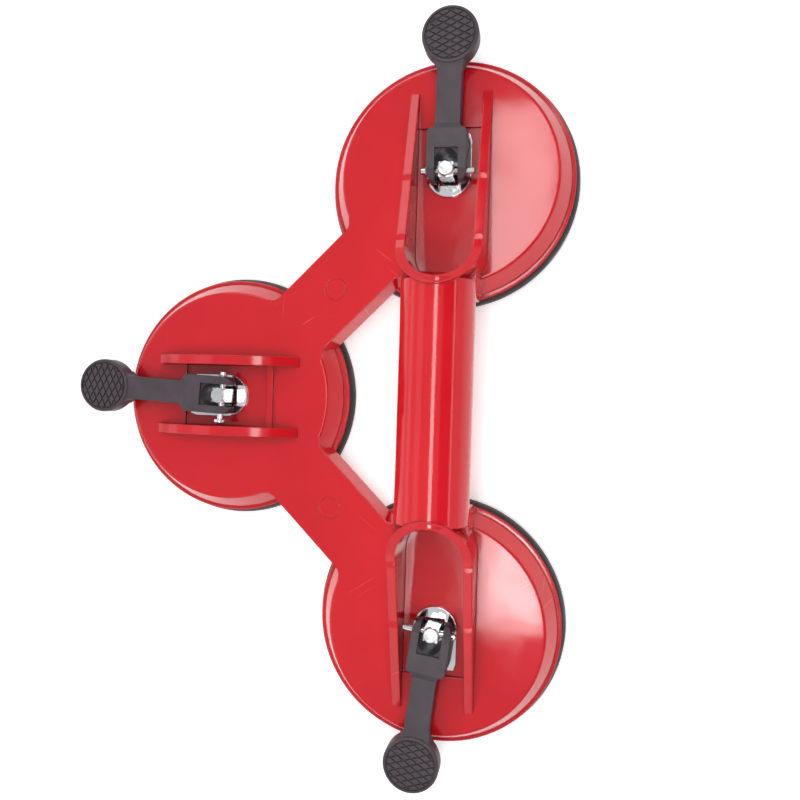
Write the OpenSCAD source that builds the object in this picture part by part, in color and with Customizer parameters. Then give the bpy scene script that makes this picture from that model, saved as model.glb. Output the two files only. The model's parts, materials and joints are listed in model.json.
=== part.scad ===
// Triple-cup vacuum lifter: one moulded housing with a tubular handle between two of
// the cups, and a lever, stud, spring and rubber pad in each cup. Millimetres, +Z up.
// The pads' sealing faces lie on z = 0, the handle runs along Y, and the origin is
// under the middle of the whole outline. The levers are down, which holds the studs and the
// middles of the pads up; a raised lever lets them down by release_drop.

/* [Layout] */
// Distance between the centres of the two cups at the ends of the handle
handle_cup_span = 207; // [204:1:212]
// Distance from the handle's axis to the side cup's centre
side_cup_reach = 104; // [102:1:107]
// Swivel of the front, rear and side levers from straight outward
lever_yaw = [0, -7.2, -2.9]; // [-12:0.1:12]

/* [Cup shell] */
// Height of the cups' flat top plates
plate_top = 23; // [23:0.5:25]
// Radius of the flat top plate
plate_r = 50.4; // [50:0.1:51]
// Outer radius of the rim that presses on the rubber
lip_r = 57; // [56.8:0.1:57.4]
// Height of the rim's lower edge
lip_bottom = 7; // [6.8:0.1:7.4]
// Thickness of the flat top plates
shell_t = 3.4; // [3.2:0.1:3.6]
// Number of stiffening ribs under each plate
rib_count = 8; // [6:1:12]

/* [Handle] */
// Outer diameter of the handle tube
tube_d = 32.5; // [31:0.5:34]
// Wall thickness of the handle tube
tube_wall = 3; // [2.5:0.5:3.5]
// Height of the handle tube's axis
tube_z = 47.5; // [46:0.5:50]
// Distance from the handle's middle to the end of the tube's crown
mouth_y = 49; // [48:0.5:51]
// Thickness of the rails beside the levers
rail_t = 4; // [3.6:0.1:4.2]
// Half of the free width between the rails
rail_gap = 14.6; // [14.4:0.1:15]

/* [Webs] */
// Width of each web's top face
web_w = 33; // [30:1:35]
// Radius of the corner between a web and a cup
web_corner_r = 5; // [4:1:7]

/* [Pads] */
// Largest diameter of the rubber pads
pad_d = 118; // [117.5:0.5:119]
// Radius of the steel disc bedded in each pad
disc_r = 33; // [30:1:36]

/* [Lever gear] */
// Distance that a raised lever lets its stud down
release_drop = 3; // [2:0.25:3]
// Height of the lever pin above the wear plate, with the lever down
pin_rise = 8.5; // [8.25:0.25:9]
// Distance from the lever pin to the middle of the thumb knob
lever_reach = 60; // [58:1:62]
// Radius of the thumb knob
knob_r = 12.75; // [12:0.25:13]
// Width across the flats of the square stud
stud_w = 6.6; // [6:0.1:6.8]
// Diameter of the stud's round head
stud_head_d = 7; // [6.6:0.1:7.4]
// Diameter of the lever pin
pin_d = 3; // [2.8:0.1:3.2]
// Width of the lever's forked end
fork_w = 17.5; // [17:0.1:18]
// Width of the slot between the fork's arms
slot_w = 10.4; // [10:0.1:10.6]

/* [Hidden] */
$fn = 96;
eps = 0.01;

FRONT = 0;
REAR = 1;
SIDE = 2;

// Footprint: the knobs' reach on three sides and the pads' radius on the fourth
half_span = handle_cup_span / 2;
front_edge = half_span + lever_reach * cos(lever_yaw[FRONT]) + knob_r;
rear_edge = half_span + lever_reach * cos(lever_yaw[REAR]) + knob_r;
side_edge = side_cup_reach + lever_reach * cos(lever_yaw[SIDE]) + knob_r;
handle_x = (side_edge - pad_d / 2) / 2;
handle_y = (rear_edge - front_edge) / 2;
cup_pos = [[0, half_span], [0, -half_span], [-side_cup_reach, 0]];
cup_dir = [90, -90, 180];

// Cup shell, outside and inside
plate_edge_r = 1.4;
wall_foot_r = 54.9;
wall_foot_z = 12.6;
lip_top = 11.1;
lip_inner_r = 53.3;
lip_bevel = 0.5;
wall_foot_t = 2.6;
wall_head_t = 3.2;
plate_under = plate_top - shell_t;
rib_t = 2.2;
rib_bottom = 11;
rib_sunk = 0.5;
ring_rib_r = 34;
recess_depth = 1.5;
recess_out = 22;
recess_in = 20;
pocket_r = 10.5;
pocket_wall = 2.5;
pocket_roof = 18.5;
guide_d = 9.4;

// Handle and rails
tube_r = tube_d / 2;
bore_r = tube_r - tube_wall;
mouth_r = rail_gap + rail_t;
mouth_centre_y = mouth_y + mouth_r;
rail_end_y = half_span + 38;
rail_slope = 0.374;
rail_curl = 0.011;
curl_start_y = mouth_y + 25;
neck_start_y = mouth_y - 4;
neck_gap = 0.6;
throat_w = 2 * bore_r - 1.5;
throat_length = 22;
ejector_d = 4.5;
ejector_y = [mouth_y + 21, mouth_y + 49.5];
side_rail_half = 35.5;
side_rail_h = 13;
side_rail_end_h = 1.5;
side_rail_t = 4.5;
cross_rib_h = 1.5;
cross_rib_t = 3;

// Webs
web_draft = 1.8;
web_bottom = 10.5;
web_t = 3;
web_rib_h = 3;
web_rib_pitch = 11;
web_angle = atan2(half_span, side_cup_reach);
web_length = norm([half_span, side_cup_reach]);
gate_mark_r = 4.8;
gate_mark_w = 0.5;
gate_mark_h = 0.3;

// Pad
pad_r = pad_d / 2;
pad_rim_top = lip_bottom - 0.3;
pad_web_top = 7;
pad_bead_top = web_bottom - 0.3;
pad_floor = 3.4;
dish_depth = 0.8;
disc_bottom = pad_floor + 0.1 + release_drop;
disc_t = 2.5;
disc_top = disc_bottom + disc_t;

// Lever gear
wear_t = 1.5;
wear_w = 20;
wear_out = 19;
wear_shift = 0.6;
wear_hole_w = 8.8;
wear_top = plate_top - recess_depth + wear_t;
pin_z = wear_top + pin_rise;
stud_top = pin_z + 6;
stud_head_t = 2;
stud_corner_r = 4.5;
stud_foot_r = 6.5;
stud_foot_t = 1.2;
washer_t = 1;
spring_wire = 1.4;
spring_r = 7;
spring_turns = 3;
spring_top = pocket_roof - washer_t;
cam_rate = release_drop / (PI / 2);
cam_gap = 0.03;
pin_play = 0.05;
pin_half = 12.2;
pin_head_t = 1.6;
pin_groove_r = 1.1;
clip_t = 0.7;
clip_gap = 0.1;
// Radius of each pin's head: the front and rear pins are plain, and the side lever's has a head
pin_head_r = [1.5, 1.5, 2.9];
// Side of the lever that each pin's clip is on, and how far off centre the pin sits
clip_side = [1, 1, -1];
pin_shift = [-0.4, -1.5, 0.9];

// Lever, measured from its pin: outward, across and up
fork_top = 4.5;
fork_out = 18.2;
slot_out = 9.6;
neck_half = 5.5;
neck_bottom = -6.9;
neck_top = 3.1;
knob_top = 3.9;
knob_foot = 0.3;
fork_slope = 2.5;
lever_cut = 20;

// ---------- placing ----------

module in_frame() {
    translate([handle_x, handle_y, 0]) children();
}

// Local +X points outward along the cup's lever channel
module at_cup(cup) {
    in_frame() translate(concat(cup_pos[cup], 0)) rotate(cup_dir[cup]) children();
}

// The same, turned with the lever
module at_gear(cup) {
    at_cup(cup) rotate(lever_yaw[cup]) children();
}

// A side view drawn as [distance along the channel, height], given a width across it
module across(width) {
    rotate([90, 0, 0]) translate([0, 0, -width / 2]) linear_extrude(width) children();
}

// ---------- housing ----------

// Section of a cup's shell from its axis to its rim
module cup_section() {
    round_z = plate_top - plate_edge_r;
    round_r = plate_r - plate_edge_r;
    arc = [for (a = [90:-15:15]) [round_r + plate_edge_r * cos(a), round_z + plate_edge_r * sin(a)]];
    outside = concat([[0, plate_top]], arc, [[wall_foot_r, wall_foot_z], [wall_foot_r, lip_top],
        [lip_r - lip_bevel, lip_top], [lip_r, lip_top - lip_bevel], [lip_r, lip_bottom]]);
    inside = [[lip_inner_r, lip_bottom], [wall_foot_r - wall_foot_t, wall_foot_z - 1],
        [plate_r - wall_head_t, plate_under], [0, plate_under]];
    polygon(concat(outside, inside));
}

module cup_ribs() {
    inner_r = pocket_r + pocket_wall / 2;
    outer_r = wall_foot_r - wall_foot_t / 2;
    top_r = plate_r - wall_head_t / 2;
    for (i = [0:rib_count - 1])
        rotate((i + 0.5) * 360 / rib_count)
            across(rib_t)
                polygon([[inner_r, rib_bottom], [outer_r, rib_bottom],
                    [top_r, plate_under + rib_sunk], [inner_r, plate_under + rib_sunk]]);
    translate([0, 0, rib_bottom]) difference() {
        cylinder(h = plate_under - rib_bottom + rib_sunk, r = ring_rib_r + rib_t);
        translate([0, 0, -1]) cylinder(h = plate_under, r = ring_rib_r);
    }
}

module spring_pocket() {
    translate([0, 0, rib_bottom])
        cylinder(h = plate_top - recess_depth - rib_bottom, r = pocket_r + pocket_wall);
}

module cup_cuts() {
    translate([0, 0, rib_bottom - 1]) cylinder(h = pocket_roof - rib_bottom + 1, r = pocket_r);
    translate([0, 0, pocket_roof - 1]) cylinder(h = plate_top, d = guide_d);
}

// Web from the side cup towards one handle cup, drawn along local +X from the side cup
module web_bar(top_half, bottom_half, top, bottom, start, end) {
    translate([start, 0, 0]) rotate([90, 0, 90]) linear_extrude(end - start)
        polygon([[-top_half, top], [top_half, top], [bottom_half, bottom], [-bottom_half, bottom]]);
}

// Rounded corner between a web and a cup. What overlaps them lies inside them.
module web_corner(side) {
    centre_v = web_w / 2 + web_corner_r;
    centre_u = sqrt(pow(plate_r + web_corner_r, 2) - pow(centre_v, 2));
    touch = plate_r / (plate_r + web_corner_r) * [centre_u, centre_v];
    mirror([0, side, 0]) translate([0, 0, web_bottom]) linear_extrude(plate_top - web_bottom)
        difference() {
            polygon([[centre_u, centre_v - web_corner_r - 1], [centre_u, centre_v], touch,
                touch - [3, 1], [centre_u - 6, web_w / 2 - 2]]);
            translate([centre_u, centre_v]) circle(r = web_corner_r);
        }
}

module web(turn) {
    in_frame() translate([-side_cup_reach, 0, 0]) rotate(turn * web_angle) {
        difference() {
            web_bar(web_w / 2, web_w / 2 + web_draft, plate_top, web_bottom,
                plate_r - 3, web_length - plate_r + 3);
            web_bar(web_w / 2 - web_t, web_w / 2 + web_draft - web_t, plate_under, web_bottom - 1,
                wall_foot_r + 1, web_length - wall_foot_r - 1);
        }
        for (u = [-1, 0, 1])
            translate([web_length / 2 + u * web_rib_pitch - rib_t / 2, web_t - web_w / 2,
                plate_under - web_rib_h])
                cube([rib_t, web_w - 2 * web_t, web_rib_h + rib_sunk]);
        for (side = [0, 1]) {
            web_corner(side);
            translate([web_length, 0, 0]) mirror([1, 0, 0]) web_corner(side);
        }
        translate([web_length / 2, 0, plate_top + gate_mark_h - gate_mark_w]) rotate_extrude()
            translate([gate_mark_r, 0]) square(gate_mark_w);
    }
}

// Height of the rails' top edge at a distance y from the handle's middle
function rail_top(y) = plate_top + 0.3 + rail_slope * (rail_end_y - y)
    + rail_curl * pow(max(0, curl_start_y - y), 2);

// Side view of one end of the handle: under the rails' sloping top edge
module mouth_side_view() {
    top_edge = [for (y = [mouth_y - 0.5:2.5:curl_start_y]) [y, rail_top(y)]];
    polygon(concat([[mouth_y - 0.5, plate_top - 1]], top_edge,
        [[rail_end_y, rail_top(rail_end_y)], [rail_end_y, plate_top - 1]]));
}

// Side view of the neck that joins the tube's underside to the cup, running into both
module neck_side_view() {
    bend = half_span - wall_foot_r - neck_gap - neck_start_y;
    tube_bottom = tube_z - tube_r;
    arc = [for (a = [90:-10:10]) [neck_start_y + bend * cos(a), tube_bottom - bend + bend * sin(a)]];
    polygon(concat([[neck_start_y, tube_z]], arc,
        [[half_span - wall_foot_r + 0.4, wall_foot_z + 0.2], [half_span - plate_r + 0.6, plate_top - 1.5],
        [mouth_centre_y, plate_top - 1.5], [mouth_centre_y, tube_z]]));
}

// Plan of the mouth: two straight sides closed by a half circle towards the handle
module mouth_plan(r, far_y) {
    translate([0, mouth_centre_y]) circle(r = r);
    translate([-r, mouth_centre_y]) square([2 * r, far_y - mouth_centre_y]);
}

// Side view of what is open inside the mouth: above the recess, the step and the ramp
module channel_side_view() {
    low_y = mouth_y - 3;
    ramp_end = half_span - plate_r + 7;
    step_y = half_span + recess_out;
    floor_z = plate_top - recess_depth;
    polygon([[low_y, tube_z - bore_r], [ramp_end, floor_z], [step_y, floor_z], [step_y, plate_top],
        [rail_end_y + 1, plate_top], [rail_end_y + 1, 2 * tube_z], [low_y, 2 * tube_z]]);
}

// Stands a side view of [y, z] along the handle, centred on x = 0
module over_handle(width) {
    rotate([90, 0, 90]) translate([0, 0, -width / 2]) linear_extrude(width) children();
}

module handle_end() {
    intersection() {
        linear_extrude(3 * tube_z) mouth_plan(mouth_r, rail_end_y);
        over_handle(3 * mouth_r) mouth_side_view();
    }
    over_handle(tube_d) neck_side_view();
    for (side = [-1, 1], y = ejector_y)
        translate([side * (rail_gap + rail_t / 2), y, plate_top - 1])
            cylinder(h = rail_top(y) - plate_top + 1.2, d = ejector_d);
}

module handle_end_cuts() {
    intersection() {
        linear_extrude(3 * tube_z) mouth_plan(rail_gap, rail_end_y + 1);
        over_handle(3 * mouth_r) channel_side_view();
    }
    intersection() {
        over_handle(throat_w) channel_side_view();
        translate([-mouth_r, neck_start_y, 0]) cube([2 * mouth_r, throat_length, tube_z]);
    }
}

module handle_tube(r, half_length) {
    translate([0, 0, tube_z]) rotate([90, 0, 0]) cylinder(h = 2 * half_length, r = r, center = true);
}

// Arched rails, cross rib and floor recess of the side cup
module side_rails() {
    chord_rise = side_rail_h - side_rail_end_h;
    arch_r = (pow(side_rail_half, 2) + pow(chord_rise, 2)) / (2 * chord_rise);
    for (side = [-1, 1])
        translate([0, side * (rail_gap + side_rail_t / 2), 0]) across(side_rail_t)
            intersection() {
                translate([0, plate_top + side_rail_h - arch_r]) circle(r = arch_r, $fn = 180);
                translate([-side_rail_half, plate_top - 1]) square([2 * side_rail_half, side_rail_h + 2]);
            }
    translate([-recess_in - cross_rib_t, -rail_gap, plate_top - 1])
        cube([cross_rib_t, 2 * rail_gap, 1 + cross_rib_h]);
}

module side_recess() {
    translate([-recess_in, -rail_gap, plate_top - recess_depth])
        cube([recess_in + recess_out, 2 * rail_gap, recess_depth + eps]);
}

module housing() {
    color([0.80, 0.07, 0.10]) difference() {
        union() {
            for (cup = [FRONT, REAR, SIDE]) at_cup(cup) {
                rotate_extrude() cup_section();
                cup_ribs();
                spring_pocket();
            }
            for (turn = [-1, 1]) web(turn);
            at_cup(SIDE) side_rails();
            in_frame() {
                handle_tube(tube_r, mouth_y + 3);
                for (end = [0, 1]) mirror([0, end, 0]) handle_end();
            }
        }
        for (cup = [FRONT, REAR, SIDE]) at_cup(cup) cup_cuts();
        at_cup(SIDE) side_recess();
        in_frame() {
            handle_tube(bore_r, mouth_centre_y);
            for (end = [0, 1]) mirror([0, end, 0]) handle_end_cuts();
        }
    }
}

// ---------- cup contents ----------

module rubber_pad(cup) {
    color([0.06, 0.06, 0.06]) at_gear(cup) rotate_extrude() polygon([
        [0, dish_depth], [pad_r - 12, dish_depth], [pad_r - 9, 0], [pad_r - 1.6, 0],
        [pad_r - 0.3, 1.4], [pad_r, 3], [pad_r - 0.6, 5], [lip_r + 0.3, pad_rim_top],
        [lip_inner_r - 0.4, pad_rim_top], [lip_inner_r - 1.1, pad_bead_top],
        [lip_inner_r - 4, pad_bead_top], [lip_inner_r - 5.5, pad_web_top],
        [disc_r + 0.4, pad_web_top], [disc_r + 0.4, pad_floor],
        [stud_foot_r + 0.3, pad_floor], [stud_foot_r + 0.3, pad_floor - stud_foot_t],
        [0, pad_floor - stud_foot_t]]);
}

module pressure_disc(cup) {
    color([0.62, 0.63, 0.65]) at_gear(cup) translate([0, 0, disc_bottom]) difference() {
        cylinder(h = disc_t, r = disc_r);
        translate([0, 0, -1]) cylinder(h = disc_t + 2, d = guide_d);
    }
}

// Square stud with a round foot under the pressure disc and a round head above the lever pin
module stud(cup) {
    edge = 0.5;
    head_r = stud_head_d / 2;
    neck_z = stud_top - stud_head_t;
    color([0.85, 0.86, 0.88]) at_gear(cup) difference() {
        union() {
            translate([0, 0, disc_bottom - stud_foot_t]) cylinder(h = stud_foot_t, r = stud_foot_r);
            intersection() {
                translate([-stud_w / 2, -stud_w / 2, disc_bottom - edge])
                    cube([stud_w, stud_w, neck_z - disc_bottom + edge]);
                cylinder(h = neck_z, r = stud_corner_r);
            }
            rotate_extrude() polygon([[0, neck_z - 1], [head_r - 1, neck_z - 1], [head_r, neck_z],
                [head_r, stud_top - edge], [head_r - edge, stud_top], [0, stud_top]]);
        }
        translate([0, 0, pin_z]) rotate([90, 0, 0])
            cylinder(h = 2 * stud_w, r = pin_d / 2 + pin_play, center = true);
    }
}

// Round wire swept along a helix whose end coils lie nearly flat
module spring(cup) {
    sides = 8;
    steps = 20 * spring_turns;
    coil_h = spring_top - disc_top - spring_wire;
    function ease(t) = t - 0.4 * sin(360 * t) / (2 * PI);
    function ring(i) = let (t = i / steps, a = 360 * spring_turns * t)
        [for (k = [0:sides - 1]) let (r = spring_r + spring_wire / 2 * cos(360 * k / sides))
            [r * cos(a), r * sin(a), disc_top + spring_wire / 2 + coil_h * ease(t)
                + spring_wire / 2 * sin(360 * k / sides)]];
    points = [for (i = [0:steps]) each ring(i)];
    sleeve = [for (i = [0:steps - 1], k = [0:sides - 1]) let (next = (k + 1) % sides)
        [i * sides + k, (i + 1) * sides + k, (i + 1) * sides + next, i * sides + next]];
    color([0.55, 0.56, 0.58]) at_gear(cup) polyhedron(points, concat(sleeve,
        [[for (k = [0:sides - 1]) k]], [[for (k = [sides - 1:-1:0]) steps * sides + k]]), convexity = 8);
}

module spring_washer(cup) {
    color([0.70, 0.71, 0.72]) at_gear(cup) translate([0, 0, spring_top]) difference() {
        cylinder(h = washer_t - 0.05, r = pocket_r - 0.6);
        translate([0, 0, -1]) cylinder(h = washer_t + 2, d = guide_d + 0.4);
    }
}

// Plate that the lever's cam runs on: rounded inward, chamfered outward, with a square hole
module wear_plate(cup) {
    half = wear_w / 2;
    cut = 3;
    color([0.90, 0.91, 0.92]) at_cup(cup) translate([0, 0, wear_top - wear_t]) difference() {
        union() {
            translate([wear_shift, 0, 0]) cylinder(h = wear_t, r = half);
            linear_extrude(wear_t) polygon([[wear_shift, -half], [wear_out - cut, -half],
                [wear_out, cut / 3 - half], [wear_out, half - cut / 3], [wear_out - cut, half],
                [wear_shift, half]]);
        }
        translate([-wear_hole_w / 2, -wear_hole_w / 2, -1]) cube([wear_hole_w, wear_hole_w, wear_t + 2]);
    }
}

// ---------- lever, in its own frame: pin on the origin, +X outward, +Z up ----------

// Distance from the pin to the wear plate when the lever has turned up by a degrees
function cam(a) = pin_rise - cam_gap - cam_rate * a * PI / 180;
// The point where the cam then touches, seen from the side
function cam_point(a) = [cam_rate * cos(a) - cam(a) * sin(a), -cam(a) * cos(a) - cam_rate * sin(a)];

module lever_side_view() {
    nose = cam_point(90);
    nose_top = [nose[0] + 1.6, fork_top - 2.6];
    nose_side = [nose[0] + 0.2, nose[1] + 2.2];
    knob_join = lever_reach - knob_r / 2;
    cam_curve = [for (a = [90:-6:0]) cam_point(a)];
    polygon(concat([[fork_out, fork_top], [0.4, fork_top], nose_top, nose_side], cam_curve,
        [[slot_out, cam_point(0)[1]], [slot_out + 2, neck_bottom], [knob_join, neck_bottom],
        [knob_join, neck_top], [fork_out + fork_slope, neck_top]]));
}

// Concave corner between the neck and a wider part, on the side v > 0
module neck_fillet(r) {
    difference() {
        translate([-0.5, -0.5]) square(r + 0.5);
        translate([r, r]) circle(r = r);
    }
}

// Concave corner between the neck and the knob, on the side v > 0
module knob_corner(r) {
    sunk_r = knob_r - 0.1;
    centre = [lever_reach - sqrt(pow(sunk_r + r, 2) - pow(neck_half + r, 2)), neck_half + r];
    touch = [lever_reach, 0] + sunk_r / (sunk_r + r) * (centre - [lever_reach, 0]);
    difference() {
        polygon([[centre[0], neck_half - 1], centre, touch, [lever_reach - 3, neck_half - 1]]);
        translate(centre) circle(r = r);
    }
}

module lever_plan() {
    nose = cam_point(90)[0];
    half = fork_w / 2;
    corner = 4.5;
    chamfer = 1;
    polygon([[nose, corner - half], [nose + corner, -half], [fork_out - chamfer, -half],
        [fork_out, chamfer - half], [fork_out, half - chamfer], [fork_out - chamfer, half],
        [nose + corner, half], [nose, half - corner]]);
    translate([fork_out - 2, -neck_half]) square([lever_reach - fork_out, 2 * neck_half]);
    for (side = [0, 1]) mirror([0, side]) {
        translate([nose + corner, half - corner]) circle(r = corner);
        translate([fork_out, neck_half]) neck_fillet(2.6);
        knob_corner(6);
    }
}

module knob() {
    top_round = 1;
    foot_round = 1.6;
    foot = neck_bottom - knob_foot;
    rotate_extrude() polygon([[0, foot], [knob_r - foot_round, foot],
        [knob_r - 0.4, neck_bottom + foot_round - 0.5], [knob_r, neck_bottom + foot_round + 1],
        [knob_r, knob_top - top_round], [knob_r - 0.3, knob_top - 0.3], [knob_r - top_round, knob_top],
        [0, knob_top]]);
}

// Ring groove and crossed grooves of the knob's face
module knob_grooves() {
    pattern_r = knob_r - 2;
    groove_w = 0.6;
    groove_depth = 0.6;
    pitch = 2.9;
    reach = floor(pattern_r / pitch);
    translate([0, 0, knob_top - groove_depth]) {
        difference() {
            cylinder(h = 2, r = pattern_r + groove_w);
            translate([0, 0, -1]) cylinder(h = 4, r = pattern_r);
        }
        intersection() {
            cylinder(h = 2, r = pattern_r + groove_w / 2);
            for (turn = [-1, 1], i = [-reach:reach])
                rotate(90 + turn * 27) translate([-knob_r, i * pitch - groove_w / 2, 0])
                    cube([2 * knob_r, groove_w, 2]);
        }
    }
}

// Slot for the stud: round-ended, with square corners at the top face
module fork_slot() {
    half = slot_w / 2;
    top_t = 1.5;
    translate([-lever_cut, -half, -lever_cut]) cube([lever_cut + slot_out - half, slot_w, 2 * lever_cut]);
    translate([slot_out - half, 0, -lever_cut]) cylinder(h = 2 * lever_cut, r = half);
    translate([-lever_cut, -half, fork_top - top_t]) cube([lever_cut + slot_out, slot_w, lever_cut]);
}

module lever(cup) {
    color([0.11, 0.10, 0.11]) at_gear(cup) translate([0, 0, pin_z]) difference() {
        union() {
            intersection() {
                across(fork_w + 2) lever_side_view();
                translate([0, 0, -lever_cut]) linear_extrude(2 * lever_cut) lever_plan();
            }
            translate([lever_reach, 0, 0]) knob();
        }
        fork_slot();
        translate([lever_reach, 0, 0]) knob_grooves();
        rotate([90, 0, 0]) cylinder(h = 2 * fork_w, r = pin_d / 2 + pin_play, center = true);
    }
}

// Along a pin from its head, at -pin_half, to its other end
module at_pin(cup) {
    at_gear(cup) translate([0, pin_shift[cup], pin_z]) rotate([-90 * clip_side[cup], 0, 0]) children();
}

// Where a pin's groove starts, just outside the lever's fork
function groove_at(cup) = fork_w / 2 + clip_gap - clip_side[cup] * pin_shift[cup];

module lever_pin(cup) {
    pin_r = pin_d / 2;
    head_r = pin_head_r[cup];
    edge = 0.3;
    head_end = pin_head_t - pin_half;
    groove = groove_at(cup);
    color([0.88, 0.89, 0.90]) at_pin(cup) difference() {
        union() {
            rotate_extrude() polygon([[0, -pin_half], [head_r - edge, -pin_half], [head_r, edge - pin_half],
                [head_r, head_end], [0, head_end]]);
            rotate_extrude() polygon([[0, head_end - 1], [pin_r, head_end - 1], [pin_r, pin_half - edge],
                [pin_r - edge, pin_half], [0, pin_half]]);
        }
        translate([0, 0, groove]) difference() {
            cylinder(h = clip_t, r = pin_r + 1);
            translate([0, 0, -1]) cylinder(h = clip_t + 2, r = pin_groove_r);
        }
    }
}

// Open ring snapped into the pin's groove
module pin_clip(cup) {
    outer_r = 2.1;
    gap = 1.4;
    play = 0.04;
    color([0.35, 0.35, 0.36]) at_pin(cup)
        translate([0, 0, groove_at(cup) + play / 2]) linear_extrude(clip_t - play)
            difference() {
                circle(r = outer_r);
                circle(r = pin_groove_r);
                translate([-gap / 2, -outer_r - 1]) square([gap, outer_r + 1]);
            }
}

housing();
rubber_pad(FRONT);  // front_rubber_pad
rubber_pad(REAR);  // rear_rubber_pad
rubber_pad(SIDE);  // side_rubber_pad
pressure_disc(FRONT);  // front_pressure_disc
pressure_disc(REAR);  // rear_pressure_disc
pressure_disc(SIDE);  // side_pressure_disc
stud(FRONT);  // front_stud
stud(REAR);  // rear_stud
stud(SIDE);  // side_stud
spring(FRONT);  // front_spring
spring(REAR);  // rear_spring
spring(SIDE);  // side_spring
spring_washer(FRONT);  // front_spring_washer
spring_washer(REAR);  // rear_spring_washer
spring_washer(SIDE);  // side_spring_washer
wear_plate(FRONT);  // front_wear_plate
wear_plate(REAR);  // rear_wear_plate
wear_plate(SIDE);  // side_wear_plate
lever(FRONT);  // front_lever
lever(REAR);  // rear_lever
lever(SIDE);  // side_lever
lever_pin(FRONT);  // front_lever_pin
lever_pin(REAR);  // rear_lever_pin
lever_pin(SIDE);  // side_lever_pin
pin_clip(FRONT);  // front_pin_clip
pin_clip(REAR);  // rear_pin_clip
pin_clip(SIDE);  // side_pin_clip
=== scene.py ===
"""Looks of the three-cup vacuum lifter: materials, moulded rubber pads, coil springs and a studio."""

import json
import math

import bpy
from mathutils import Matrix, Vector
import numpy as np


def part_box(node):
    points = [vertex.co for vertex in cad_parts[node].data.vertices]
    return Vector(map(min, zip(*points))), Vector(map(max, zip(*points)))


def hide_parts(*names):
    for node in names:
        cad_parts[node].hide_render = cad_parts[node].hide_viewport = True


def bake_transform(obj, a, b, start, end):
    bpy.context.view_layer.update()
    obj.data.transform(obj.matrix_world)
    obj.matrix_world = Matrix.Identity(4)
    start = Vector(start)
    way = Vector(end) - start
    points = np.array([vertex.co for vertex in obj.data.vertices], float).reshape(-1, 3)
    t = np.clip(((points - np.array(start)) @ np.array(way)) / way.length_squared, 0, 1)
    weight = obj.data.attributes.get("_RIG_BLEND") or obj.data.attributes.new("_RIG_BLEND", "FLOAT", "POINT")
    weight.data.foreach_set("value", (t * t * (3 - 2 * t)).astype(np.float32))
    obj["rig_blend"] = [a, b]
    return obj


MM = 0.001
CUPS = ("front", "rear", "side")

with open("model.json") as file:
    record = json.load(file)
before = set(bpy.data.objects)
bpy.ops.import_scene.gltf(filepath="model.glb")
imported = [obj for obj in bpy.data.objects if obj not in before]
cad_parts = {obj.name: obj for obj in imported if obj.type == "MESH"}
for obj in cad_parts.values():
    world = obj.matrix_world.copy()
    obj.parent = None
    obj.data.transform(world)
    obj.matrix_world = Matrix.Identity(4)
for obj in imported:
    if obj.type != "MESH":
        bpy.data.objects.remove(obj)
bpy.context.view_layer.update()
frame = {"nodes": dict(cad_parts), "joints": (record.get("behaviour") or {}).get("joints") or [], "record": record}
nodes = frame["nodes"]


# ---------- places, from the frame ----------


def cup_centre(cup):
    """Middle of a cup on the ground, from its stud."""
    low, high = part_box(cup + "_stud")
    middle = (low + high) / 2
    return Vector((middle.x, middle.y, 0.0))


def lift_range(cup):
    """How far a raised lever lets the stud down."""
    joint = next(j for j in frame["joints"] if j["name"] == cup + "_lift")
    return -joint["range_m"][0]


# ---------- camera ----------


def add_camera():
    """Camera over the handle's right-hand side, turned a little so that the side cup is seen whole."""
    data = bpy.data.cameras.new("camera")
    data.sensor_width = 36.0
    data.lens = 38.11
    data.shift_x = 0.05
    camera = bpy.data.objects.new("camera", data)
    bpy.context.scene.collection.objects.link(camera)
    place = Vector((0.1078, 0.0029, 0.4099))
    right = Vector((0.9749, 0.0309, -0.2206))
    up = Vector((-0.0320, 0.9995, -0.0014))
    back = Vector((0.2204, 0.0084, 0.9754))
    turn = Matrix((right, up, back)).transposed().to_4x4()
    camera.matrix_world = Matrix.Translation(place) @ turn
    bpy.context.scene.camera = camera


add_camera()


# ---------- shader helpers ----------


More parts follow.
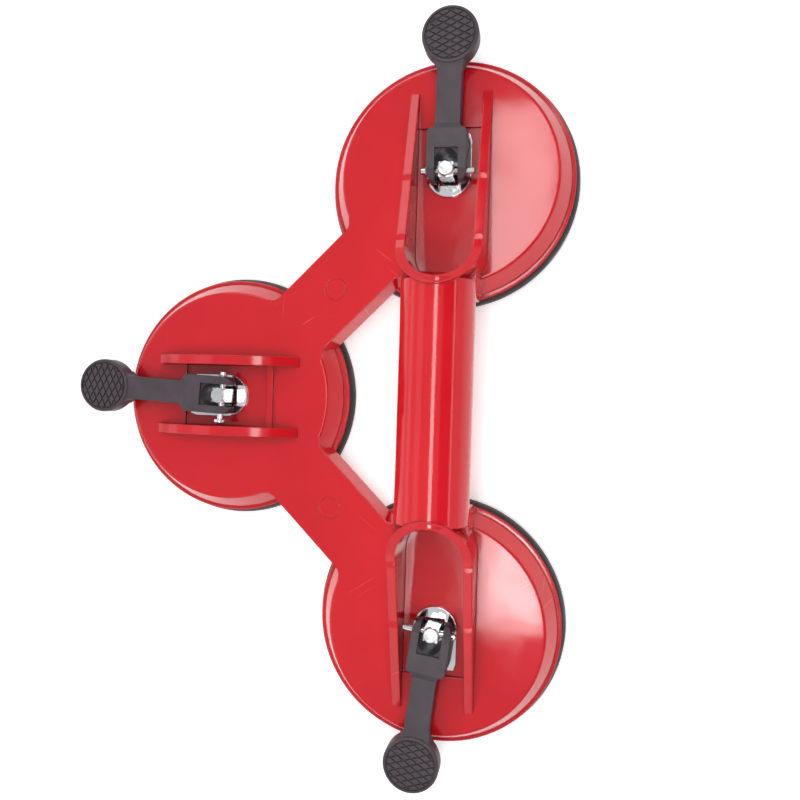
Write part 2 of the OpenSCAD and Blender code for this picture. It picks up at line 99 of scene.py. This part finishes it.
class Surface:
    """A material's node tree around one Principled shader.

    The color and roughness given to it are about the average of what the textures put in their place.
    """

    def __init__(self, name, color, roughness, metallic=0.0):
        self.material = bpy.data.materials.new(name)
        self.material.use_nodes = True
        self.tree = self.material.node_tree
        self.tree.nodes.clear()
        self.shader = self.add("ShaderNodeBsdfPrincipled")
        self.shader.inputs["Base Color"].default_value = (*color, 1.0)
        self.shader.inputs["Roughness"].default_value = roughness
        self.shader.inputs["Metallic"].default_value = metallic
        out = self.add("ShaderNodeOutputMaterial")
        self.link(self.shader.outputs["BSDF"], out.inputs["Surface"])
        self.place = self.add("ShaderNodeTexCoord").outputs["Object"]
        self.normal = None

    def add(self, kind, **settings):
        """New node of a kind, with its settings."""
        node = self.tree.nodes.new(kind)
        for key, value in settings.items():
            setattr(node, key, value)
        return node

    def link(self, source, target):
        self.tree.links.new(source, target)

    def stretched(self, scale):
        """Coordinates scaled along each axis."""
        node = self.add("ShaderNodeMapping")
        node.inputs["Scale"].default_value = scale
        self.link(self.place, node.inputs["Vector"])
        return node.outputs["Vector"]

    def noise(self, size, detail, place=None, wavy=0.0):
        """Noise whose lumps are about size metres across."""
        node = self.add("ShaderNodeTexNoise")
        node.inputs["Scale"].default_value = 1.0 / size
        node.inputs["Detail"].default_value = detail
        node.inputs["Distortion"].default_value = wavy
        self.link(place or self.place, node.inputs["Vector"])
        return node.outputs["Fac"]

    def between(self, value, low, high, out_low=0.0, out_high=1.0):
        """value rescaled from low..high to out_low..out_high, clamped."""
        node = self.add("ShaderNodeMapRange", clamp=True)
        node.inputs["From Min"].default_value = low
        node.inputs["From Max"].default_value = high
        node.inputs["To Min"].default_value = out_low
        node.inputs["To Max"].default_value = out_high
        self.link(value, node.inputs["Value"])
        return node.outputs["Result"]

    def combine(self, operation, first, second):
        """Two values, or a value and a number, put through one arithmetic operation."""
        node = self.add("ShaderNodeMath", operation=operation)
        for socket, value in zip(node.inputs, (first, second)):
            if isinstance(value, (int, float)):
                socket.default_value = value
            else:
                self.link(value, socket)
        return node.outputs["Value"]

    def mix(self, share, first, second):
        """Colour mixed from first to second by share."""
        node = self.add("ShaderNodeMix", data_type="RGBA")
        self.link(share, node.inputs["Factor"])
        for key, value in (("A", first), ("B", second)):
            socket = next(s for s in node.inputs if s.name == key and s.type == "RGBA")
            if isinstance(value, tuple):
                socket.default_value = (*value, 1.0)
            else:
                self.link(value, socket)
        return next(s for s in node.outputs if s.type == "RGBA")

    def scratches(self):
        """Sparse hairlines in three directions, in the patches that a broad noise picks out."""
        length, width, depth = 26.0, 1.0, 1000.0
        spacing = 0.9 * MM
        total = None
        for turn, offset in ((0.6, 0.02), (1.5, 0.05), (2.5, 0.11)):
            node = self.add("ShaderNodeMapping", vector_type="TEXTURE")
            node.inputs["Location"].default_value = (offset, offset, 0.0)
            node.inputs["Rotation"].default_value = (0.0, 0.0, turn)
            node.inputs["Scale"].default_value = (length, width, depth)
            self.link(self.place, node.inputs["Vector"])
            lines = self.noise(spacing, detail=0.0, place=node.outputs["Vector"], wavy=0.35)
            line = self.between(lines, 0.81, 0.92)
            total = line if total is None else self.combine("MAXIMUM", total, line)
        knocked = self.between(self.noise(45 * MM, detail=2.0), 0.5, 0.72)
        return self.combine("MULTIPLY", total, knocked)

    def open_sky(self, reach, low, high):
        """0 in corners deeper than reach and 1 out in the open; the materials mix painted shade in by it."""
        node = self.add("ShaderNodeAmbientOcclusion", samples=6)
        node.inputs["Distance"].default_value = reach
        return self.between(node.outputs["AO"], low, high)

    def soft_edges(self, radius):
        """Rounds the look of sharp edges."""
        node = self.add("ShaderNodeBevel", samples=6)
        node.inputs["Radius"].default_value = radius
        self.normal = node.outputs["Normal"]

    def bump(self, height, depth):
        """Relief of height (0 to 1) times depth metres, on top of what is there."""
        node = self.add("ShaderNodeBump")
        node.inputs["Distance"].default_value = depth
        self.link(height, node.inputs["Height"])
        if self.normal is not None:
            self.link(self.normal, node.inputs["Normal"])
        self.normal = node.outputs["Normal"]

    def done(self):
        """The finished material."""
        if self.normal is not None:
            self.link(self.normal, self.shader.inputs["Normal"])
        return self.material


# ---------- materials ----------


def red_plastic():
    """Glossy moulded ABS: faint clouds and waves, hairline scratches, hazy wear, and painted shade in its corners.
    """
    deep, pale = (0.615, 0.005, 0.013), (0.675, 0.008, 0.018)
    # The second colour on the next line is painted shade: a darker red for corners and recesses.
    scratched, corner_shade = (0.85, 0.14, 0.15), (0.30, 0.001, 0.006)
    s = Surface("red_plastic", (0.64, 0.006, 0.015), 0.12)
    s.shader.inputs["IOR"].default_value = 1.5
    cloud = s.between(s.noise(35 * MM, detail=3.0), 0.3, 0.7)
    base = s.mix(cloud, deep, pale)
    scratches = s.scratches()
    worn = s.mix(scratches, base, scratched)
    # Painted shade: the ambient-occlusion mask darkens the base colour in corners and recesses.
    s.link(s.mix(s.open_sky(9 * MM, 0.2, 0.8), corner_shade, worn), s.shader.inputs["Base Color"])
    s.soft_edges(0.8 * MM)
    s.bump(s.noise(6 * MM, detail=1.0), 0.02 * MM)
    haze = s.between(s.noise(14 * MM, detail=5.0), 0.4, 0.72, 0.08, 0.17)
    s.link(s.combine("ADD", haze, s.combine("MULTIPLY", scratches, 0.2)), s.shader.inputs["Roughness"])
    return s.done()


def black_plastic():
    """Satin moulded plastic with a fine spark-eroded grain, paler patches of wear, and painted shade in its
    corners.
    """
    # The last colour on the next line is painted shade: near-black for corners and recesses.
    unworn, worn, corner_shade = (0.052, 0.038, 0.048), (0.074, 0.055, 0.068), (0.016, 0.012, 0.016)
    s = Surface("black_plastic", (0.06, 0.045, 0.056), 0.5)
    rubbed = s.between(s.noise(9 * MM, detail=4.0), 0.35, 0.75)
    base = s.mix(rubbed, unworn, worn)
    # Painted shade: the ambient-occlusion mask darkens the base colour in corners and recesses.
    s.link(s.mix(s.open_sky(5 * MM, 0.2, 0.8), corner_shade, base), s.shader.inputs["Base Color"])
    s.soft_edges(0.3 * MM)
    s.bump(s.noise(0.35 * MM, detail=2.0), 0.02 * MM)
    s.link(s.between(s.noise(6 * MM, detail=3.0), 0.3, 0.7, 0.46, 0.58), s.shader.inputs["Roughness"])
    return s.done()


def black_rubber():
    """Smooth moulded rubber with a dusty bloom."""
    s = Surface("black_rubber", (0.015, 0.015, 0.016), 0.45)
    s.bump(s.noise(1.2 * MM, detail=3.0), 0.02 * MM)
    s.link(s.between(s.noise(8 * MM, detail=4.0), 0.3, 0.7, 0.38, 0.6), s.shader.inputs["Roughness"])
    return s.done()


def chrome_plate():
    """Bright plating over sheet steel, with painted shade and painted dark reflection in its corners."""
    # The first colour on the next line is painted shade: a dark grey for the plate's corners and the parts next to
    # the levers.
    corner_shade, bright = (0.10, 0.10, 0.11), (0.84, 0.85, 0.87)
    s = Surface("chrome_plate", (0.82, 0.83, 0.85), 0.05, metallic=1.0)
    # Painted shade and painted reflection: the ambient-occlusion mask darkens the plating in corners, in place of
    # the dark parts it would mirror there.
    s.link(s.mix(s.open_sky(8 * MM, 0.12, 0.5), corner_shade, bright), s.shader.inputs["Base Color"])
    s.soft_edges(0.2 * MM)
    s.link(s.between(s.noise(3 * MM, detail=4.0), 0.45, 0.75, 0.02, 0.12), s.shader.inputs["Roughness"])
    return s.done()


def bright_steel():
    """Turned, zinc-plated steel."""
    s = Surface("bright_steel", (0.66, 0.67, 0.69), 0.25, metallic=1.0)
    s.soft_edges(0.12 * MM)
    s.bump(s.noise(0.25 * MM, detail=1.0, place=s.stretched((1, 1, 0.15))), 0.006 * MM)
    s.link(s.between(s.noise(2 * MM, detail=4.0), 0.3, 0.7, 0.18, 0.34), s.shader.inputs["Roughness"])
    return s.done()


def spring_steel():
    """Drawn wire, dark and slightly oily."""
    s = Surface("spring_steel", (0.36, 0.36, 0.37), 0.3, metallic=1.0)
    s.link(s.between(s.noise(1.5 * MM, detail=4.0), 0.3, 0.7, 0.2, 0.4), s.shader.inputs["Roughness"])
    return s.done()


MATERIALS = {
    "red_plastic": red_plastic(),
    "black_plastic": black_plastic(),
    "black_rubber": black_rubber(),
    "chrome_plate": chrome_plate(),
    "bright_steel": bright_steel(),
    "spring_steel": spring_steel(),
}


def dress_cad_nodes():
    """Gives every CAD node the material of its slot in the record."""
    for part in frame["record"]["subparts"]:
        node = nodes[part["node"]]
        node.data.materials.clear()
        node.data.materials.append(MATERIALS[part["material_slot"]])


dress_cad_nodes()


# ---------- soft and sprung pieces ----------


def new_piece(name, points, faces):
    """Mesh object with smooth shading."""
    mesh = bpy.data.meshes.new(name)
    mesh.from_pydata(points, [], faces)
    mesh.validate()
    mesh.shade_smooth()
    piece = bpy.data.objects.new(name, mesh)
    bpy.context.scene.collection.objects.link(piece)
    return piece


def revolved(name, outline, centre, steps):
    """Mesh of (radius, height) points, starting on the axis, turned about the vertical at centre."""
    points = []
    rings = []
    for radius, height in outline:
        if radius == 0.0:
            rings.append([len(points)])
            points.append((centre.x, centre.y, height))
            continue
        rings.append(list(range(len(points), len(points) + steps)))
        for k in range(steps):
            turn = math.tau * k / steps
            x = centre.x + radius * math.cos(turn)
            y = centre.y + radius * math.sin(turn)
            points.append((x, y, height))
    faces = []
    for low, high in zip(rings, rings[1:]):
        for k in range(steps):
            after = (k + 1) % steps
            if len(low) == 1:
                faces.append((low[0], high[after], high[k]))
            elif len(high) == 1:
                faces.append((low[k], low[after], high[0]))
            else:
                faces.append((low[k], low[after], high[after], high[k]))
    return new_piece(name, points, faces)


def weigh(piece, share):
    weights = piece.data.attributes["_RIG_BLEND"].data
    for vertex, weight in zip(piece.data.vertices, weights):
        weight.value = share(vertex.co)


def smooth(t):
    """Eases from 0 to 1 as t does, and stays there outside."""
    t = min(max(t, 0.0), 1.0)
    return t * t * (3.0 - 2.0 * t)


def rounded(corner, before, after, radius):
    """Points that round off an outline's corner, from radius before it to radius after it."""
    steps = 4
    corner, before, after = Vector(corner), Vector(before), Vector(after)
    start = corner + (before - corner).normalized() * radius
    end = corner + (after - corner).normalized() * radius
    made = []
    for k in range(steps + 1):
        t = k / steps
        made.append(tuple(start * (1 - t) ** 2 + corner * 2 * t * (1 - t) + end * t ** 2))
    return made


def pad_outline():
    """Section of a pad lying flat, in millimetres, from its face's middle to its top's middle."""
    dish = 0.8
    ring_depth, ring_foot, ring_crest = 0.3, 0.8, 0.4
    groove_depth, groove_half = 0.35, 0.5
    face = [(0.0, dish)]
    for ring in range(10, 46, 7):
        face.append((ring - ring_foot, dish))
        face.append((ring - ring_crest, dish - ring_depth))
        face.append((ring + ring_crest, dish - ring_depth))
        face.append((ring + ring_foot, dish))
    face += [(47.0, dish), (48.6, 0.35), (50.0, 0.0)]
    for groove in (51.8, 53.6, 55.4):
        face.append((groove - groove_half, 0.0))
        face.append((groove, groove_depth))
        face.append((groove + groove_half, 0.0))
    lip = [(57.3, 0.0), (58.7, 1.5), (58.93, 3.1), (58.4, 5.0), (57.2, 6.65)]
    bead = [(52.9, 6.65), (52.15, 10.1), (49.4, 10.1), (47.9, 6.7)]
    disc_pocket = [(33.6, 6.6), (33.4, 3.4), (6.9, 3.4)]
    middle = [(6.9, 2.2), (0.0, 2.2)]
    corners = lip + bead + disc_pocket + middle
    largest_radius = 0.6
    outline = list(face)
    chain = [face[-1]] + corners
    for before, corner, after in zip(chain, chain[1:], chain[2:]):
        reach = min(math.dist(before, corner), math.dist(corner, after))
        outline += rounded(corner, before, after, min(largest_radius, 0.45 * reach))
    return outline + [corners[-1]]


def add_pad(cup):
    """Moulded rubber pad: its middle is bonded to the pressure disc and bends up and down with the stud.
    """
    centre = cup_centre(cup)
    bonded_r, free_r = 35.5 * MM, 49.0 * MM
    drop = lift_range(cup)

    def share(point):
        """1 where the pad is bonded to the disc, and 0 at its rim."""
        radius = math.hypot(point[0] - centre.x, point[1] - centre.y)
        return 1.0 - smooth((radius - bonded_r) / (free_r - bonded_r))

    outline = [(radius * MM, height * MM) for radius, height in pad_outline()]
    pad = revolved(cup + "_pad_moulded", outline, centre, 144)
    for vertex in pad.data.vertices:
        vertex.co.z += drop * share(vertex.co)
    pad.data.materials.append(MATERIALS["black_rubber"])
    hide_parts(cup + "_rubber_pad")
    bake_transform(pad, cup + "_pad_unit", cup + "_stud_unit", start=centre, end=centre + Vector((0, 0, 0.01)))
    weigh(pad, share)


def add_spring(cup):
    """Round-wire coil with ends ground flat, squeezed between the pressure disc and its washer."""
    low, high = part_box(cup + "_spring")
    centre = cup_centre(cup)
    turns, steps, sides = 3, 56, 14
    wire_r = 0.7 * MM
    end_gap = 0.4 * wire_r
    flat_ends = 0.4
    coil_r = (high.x - low.x) / 2 - wire_r
    ring_count = turns * steps
    points = []
    for i in range(ring_count + 1):
        t = i / ring_count
        turn = math.tau * turns * t
        eased = t - flat_ends * math.sin(math.tau * t) / math.tau
        height = low.z + end_gap + (high.z - low.z - 2 * end_gap) * eased
        for k in range(sides):
            across = math.tau * k / sides
            radius = coil_r + wire_r * math.cos(across)
            x = centre.x + radius * math.cos(turn)
            y = centre.y + radius * math.sin(turn)
            z = min(max(height + wire_r * math.sin(across), low.z), high.z)
            points.append((x, y, z))
    faces = []
    for i in range(ring_count):
        for k in range(sides):
            after = (k + 1) % sides
            here, above = i * sides, (i + 1) * sides
            faces.append((here + k, above + k, above + after, here + after))
    faces.append(tuple(range(sides)))
    faces.append(tuple(ring_count * sides + k for k in reversed(range(sides))))
    spring = new_piece(cup + "_coil", points, faces)
    spring.data.materials.append(MATERIALS["spring_steel"])
    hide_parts(cup + "_spring")
    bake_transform(spring, cup + "_pad_unit", cup + "_stud_unit", start=high, end=low)
    weigh(spring, lambda point: (high.z - point.z) / (high.z - low.z))


for cup in CUPS:
    add_pad(cup)
    add_spring(cup)


# ---------- studio ----------


def add_floor():
    """Pale round floor that sweeps up into a far wall, and glows a little to come out white."""
    ground = -0.2 * MM
    glow = 0.38
    outline = [(0.0, ground), (4.8, ground), (5.4, 0.08), (5.8, 0.35), (6.0, 0.9), (6.0, 2.4)]
    floor = revolved("floor", outline, Vector(), 96)
    s = Surface("pale_floor", (0.95, 0.95, 0.95), 0.7)
    s.shader.inputs["Emission Color"].default_value = (1.0, 1.0, 1.0, 1.0)
    s.shader.inputs["Emission Strength"].default_value = glow
    floor.data.materials.append(s.done())


def add_light(name, place, aim, size, radiance):
    """Rectangular area light at place, facing aim, whose power goes with its area."""
    data = bpy.data.lights.new(name, "AREA")
    data.shape = "RECTANGLE"
    data.size, data.size_y = size
    data.energy = radiance * math.pi * size[0] * size[1]
    light = bpy.data.objects.new(name, data)
    bpy.context.scene.collection.objects.link(light)
    light.location = place
    light.rotation_euler = (Vector(aim) - Vector(place)).to_track_quat("-Z", "Y").to_euler()
    light.visible_camera = False


def add_studio():
    """Floor, faint world, broad soft lights, and a strip whose image shows on the handle's two cups."""
    faint = 0.14
    add_floor()
    world = bpy.data.worlds.new("studio")
    world.use_nodes = True
    back = world.node_tree.nodes["Background"]
    back.inputs["Color"].default_value = (1.0, 1.0, 1.0, 1.0)
    back.inputs["Strength"].default_value = faint
    bpy.context.scene.world = world
    add_light("overhead", (-0.45, 0.0, 1.3), (-0.45, 0.0, 0.0), (2.2, 2.4), 0.5)
    add_light("left", (-1.3, 0.0, 0.9), (0.0, 0.0, 0.0), (2.0, 1.4), 0.6)
    add_light("front", (-0.38, 1.25, 0.8), (0.0, 0.1, 0.0), (0.6, 0.5), 2.6)
    add_light("back", (-0.3, -1.25, 0.8), (0.0, -0.1, 0.0), (0.6, 0.5), 1.3)
    add_light("edge", (0.9, 0.15, 0.5), (0.05, 0.0, 0.0), (0.9, 0.08), 3.0)
    add_light("strip", (0.075, 0.03, 0.42), (0.075, 0.03, 0.0), (0.065, 0.48), 7.4)
    add_light("strip_end", (0.082, -0.16, 0.43), (0.082, -0.16, 0.0), (0.05, 0.1), 8.0)
    bpy.context.scene.view_settings.view_transform = "Standard"


add_studio()
